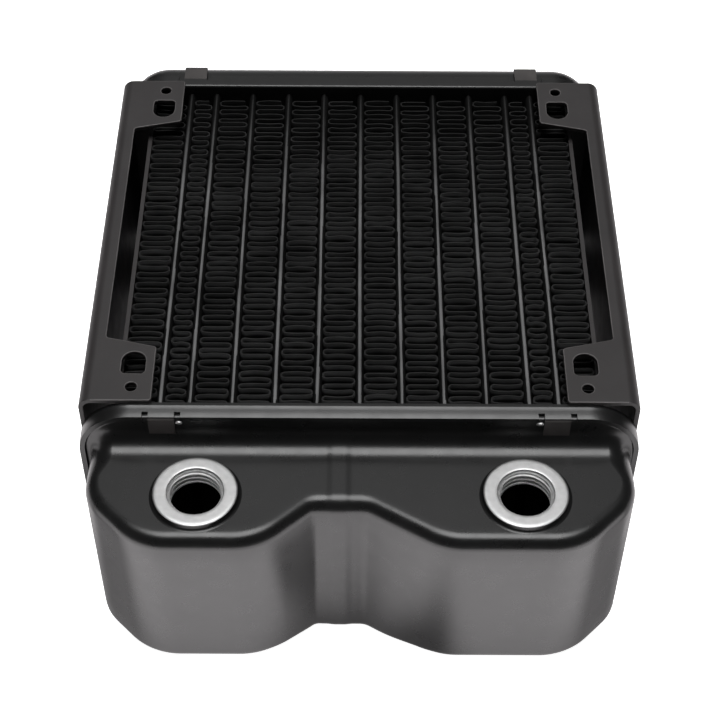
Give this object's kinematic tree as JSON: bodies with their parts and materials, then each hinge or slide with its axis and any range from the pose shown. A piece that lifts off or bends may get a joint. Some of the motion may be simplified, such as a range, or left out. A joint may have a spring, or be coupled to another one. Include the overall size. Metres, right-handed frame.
{
  "type": "liquid cooling radiator",
  "caption": "Thick single-fan liquid cooling radiator with a two-lobed port tank, threaded ports, fin and tube core, return tank and folded side plates with fan ears.",
  "frame": {"origin": "centre of the underside of the overall box, lying flat on one fan side", "axes": "+Y from the port tank to the return tank, +Z out of the fan side that the ports face, +X to the right seen from the port tank"},
  "size_m": [0.13, 0.158, 0.064],
  "materials": {
    "tank_paint": "satin black paint",
    "header_paint": "satin black paint",
    "plate_paint": "fine-grained matt black paint",
    "core_paint": "thin matt black paint on folded foil",
    "tube_paint": "matt black paint, worn lighter on the tube edges",
    "port_metal": "bare machined metal with fine turned lines",
    "inner_brass": "bare sheet, inside the tank"
  },
  "bodies": {
    "root": {"front_tank": "tank_paint", "tank_divider": "inner_brass", "left_port_bung": "port_metal", "right_port_bung": "port_metal", "front_header": "header_paint", "back_header": "header_paint", "back_tank": "tank_paint", "left_side_plate": "plate_paint", "right_side_plate": "plate_paint", "left_core_sheet": "core_paint", "right_core_sheet": "core_paint", "tube_lower_01": "tube_paint", "tube_lower_02": "tube_paint", "tube_lower_03": "tube_paint", "tube_lower_04": "tube_paint", "tube_lower_05": "tube_paint", "tube_lower_06": "tube_paint", "tube_lower_07": "tube_paint", "tube_lower_08": "tube_paint", "tube_lower_09": "tube_paint", "tube_lower_10": "tube_paint", "tube_lower_11": "tube_paint", "tube_upper_01": "tube_paint", "tube_upper_02": "tube_paint", "tube_upper_03": "tube_paint", "tube_upper_04": "tube_paint", "tube_upper_05": "tube_paint", "tube_upper_06": "tube_paint", "tube_upper_07": "tube_paint", "tube_upper_08": "tube_paint", "tube_upper_09": "tube_paint", "tube_upper_10": "tube_paint", "tube_upper_11": "tube_paint", "fin_strip_01": "core_paint", "fin_strip_02": "core_paint", "fin_strip_03": "core_paint", "fin_strip_04": "core_paint", "fin_strip_05": "core_paint", "fin_strip_06": "core_paint", "fin_strip_07": "core_paint", "fin_strip_08": "core_paint", "fin_strip_09": "core_paint", "fin_strip_10": "core_paint", "fin_strip_11": "core_paint", "fin_strip_12": "core_paint"}
  },
  "joints": []
}
